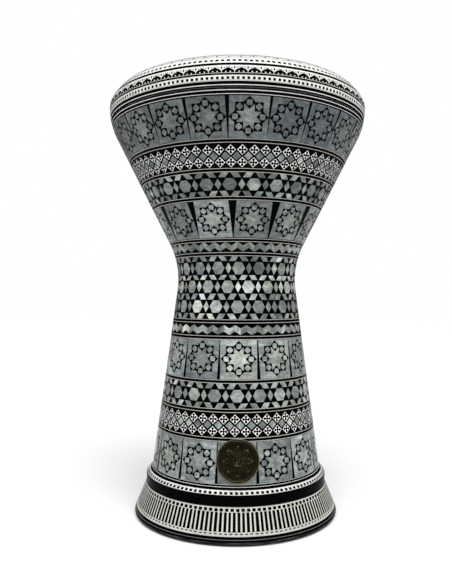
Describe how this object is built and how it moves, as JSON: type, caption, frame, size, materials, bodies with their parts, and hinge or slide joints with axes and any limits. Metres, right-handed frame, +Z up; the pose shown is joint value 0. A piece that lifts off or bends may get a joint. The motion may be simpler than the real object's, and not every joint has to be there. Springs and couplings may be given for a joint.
{
  "type": "darbuka",
  "caption": "Goblet drum with a cast shell, a rounded tuning ring with hidden bolts, a film head and mosaic inlay bands.",
  "frame": {"origin": "centre of the foot's base, on the surface that the drum stands on", "axes": "+Z up along the drum's axis, from the foot to the head; -Y towards the medallion"},
  "size_m": [0.2732, 0.2732, 0.4453],
  "materials": {
    "cast_aluminium": "cast, sanded, bare",
    "pearl_inlay": "mother-of-pearl mosaic under clear lacquer",
    "white_inlay": "white bone-like strip under clear lacquer",
    "black_inlay": "black resin under clear lacquer",
    "head_film": "fine matt polyester film",
    "hoop_aluminium": "satin",
    "bolt_steel": "dark zinc",
    "medallion_brass": "dark antique"
  },
  "bodies": {
    "shell": {"shell": "cast_aluminium", "head_film": "head_film", "medallion": "medallion_brass", "foot_edge_band": "black_inlay", "foot_dash_strip": "white_inlay", "foot_bar_band": "white_inlay", "foot_dot_strip": "white_inlay", "groove_band": "black_inlay", "bead_dot_strip": "white_inlay", "star_band_lower": "pearl_inlay", "stringing_1": "black_inlay", "diamond_band_lower": "pearl_inlay", "stringing_2": "black_inlay", "hexagon_band_lower": "pearl_inlay", "stringing_3": "black_inlay", "star_band_middle": "pearl_inlay", "stringing_4": "black_inlay", "zigzag_band_lower": "pearl_inlay", "stringing_5": "black_inlay", "hexagon_band_waist": "pearl_inlay", "stringing_6": "black_inlay", "zigzag_band_upper": "pearl_inlay", "stringing_7": "black_inlay", "star_band_upper": "pearl_inlay", "stringing_8": "black_inlay", "hexagon_band_upper": "pearl_inlay", "stringing_9": "black_inlay", "diamond_band_upper": "pearl_inlay", "stringing_10": "black_inlay", "star_band_rim": "pearl_inlay", "rim_line_band": "black_inlay", "washer_1": "bolt_steel", "washer_2": "bolt_steel", "washer_3": "bolt_steel", "washer_4": "bolt_steel", "washer_5": "bolt_steel", "washer_6": "bolt_steel", "washer_7": "bolt_steel", "washer_8": "bolt_steel"},
    "tuning_ring": {"tuning_ring": "cast_aluminium", "head_hoop": "hoop_aluminium", "ring_line_band": "black_inlay", "ring_dot_strip_lower": "white_inlay", "ring_triangle_band": "white_inlay", "ring_dot_strip_upper": "white_inlay", "ring_crown_band": "pearl_inlay"},
    "tuning_bolt_1": {"tuning_bolt_1": "bolt_steel"},
    "tuning_bolt_2": {"tuning_bolt_2": "bolt_steel"},
    "tuning_bolt_3": {"tuning_bolt_3": "bolt_steel"},
    "tuning_bolt_4": {"tuning_bolt_4": "bolt_steel"},
    "tuning_bolt_5": {"tuning_bolt_5": "bolt_steel"},
    "tuning_bolt_6": {"tuning_bolt_6": "bolt_steel"},
    "tuning_bolt_7": {"tuning_bolt_7": "bolt_steel"},
    "tuning_bolt_8": {"tuning_bolt_8": "bolt_steel"}
  },
  "joints": [
    {"name": "tuning_bolt_1_turn", "type": "hinge", "parent": "shell", "child": "tuning_bolt_1", "pos_m": [0.1172, 0, 0.4036], "axis": [0, 0, -1], "range_deg": [-181, 721]},
    {"name": "tuning_bolt_2_turn", "type": "hinge", "parent": "shell", "child": "tuning_bolt_2", "pos_m": [0.08287, 0.08287, 0.4036], "axis": [0, 0, -1], "range_deg": [-181, 721]},
    {"name": "tuning_bolt_3_turn", "type": "hinge", "parent": "shell", "child": "tuning_bolt_3", "pos_m": [0, 0.1172, 0.4036], "axis": [0, 0, -1], "range_deg": [-181, 721]},
    {"name": "tuning_bolt_4_turn", "type": "hinge", "parent": "shell", "child": "tuning_bolt_4", "pos_m": [-0.08287, 0.08287, 0.4036], "axis": [0, 0, -1], "range_deg": [-181, 721]},
    {"name": "tuning_bolt_5_turn", "type": "hinge", "parent": "shell", "child": "tuning_bolt_5", "pos_m": [-0.1172, 0, 0.4036], "axis": [0, 0, -1], "range_deg": [-181, 721]},
    {"name": "tuning_bolt_6_turn", "type": "hinge", "parent": "shell", "child": "tuning_bolt_6", "pos_m": [-0.08287, -0.08287, 0.4036], "axis": [0, 0, -1], "range_deg": [-181, 721]},
    {"name": "tuning_bolt_7_turn", "type": "hinge", "parent": "shell", "child": "tuning_bolt_7", "pos_m": [0, -0.1172, 0.4036], "axis": [0, 0, -1], "range_deg": [-181, 721]},
    {"name": "tuning_bolt_8_turn", "type": "hinge", "parent": "shell", "child": "tuning_bolt_8", "pos_m": [0.08287, -0.08287, 0.4036], "axis": [0, 0, -1], "range_deg": [-181, 721]},
    {"name": "tuning_ring_travel", "type": "slide", "parent": "shell", "child": "tuning_ring", "axis": [0, 0, 1], "range_m": [-0.0005, 0.002]}
  ],
  "couplings": [
    {"joint": "tuning_bolt_1_turn", "follows": "tuning_ring_travel", "rad_per_m": 6283.2},
    {"joint": "tuning_bolt_2_turn", "follows": "tuning_ring_travel", "rad_per_m": 6283.2},
    {"joint": "tuning_bolt_3_turn", "follows": "tuning_ring_travel", "rad_per_m": 6283.2},
    {"joint": "tuning_bolt_4_turn", "follows": "tuning_ring_travel", "rad_per_m": 6283.2},
    {"joint": "tuning_bolt_5_turn", "follows": "tuning_ring_travel", "rad_per_m": 6283.2},
    {"joint": "tuning_bolt_6_turn", "follows": "tuning_ring_travel", "rad_per_m": 6283.2},
    {"joint": "tuning_bolt_7_turn", "follows": "tuning_ring_travel", "rad_per_m": 6283.2},
    {"joint": "tuning_bolt_8_turn", "follows": "tuning_ring_travel", "rad_per_m": 6283.2}
  ]
}
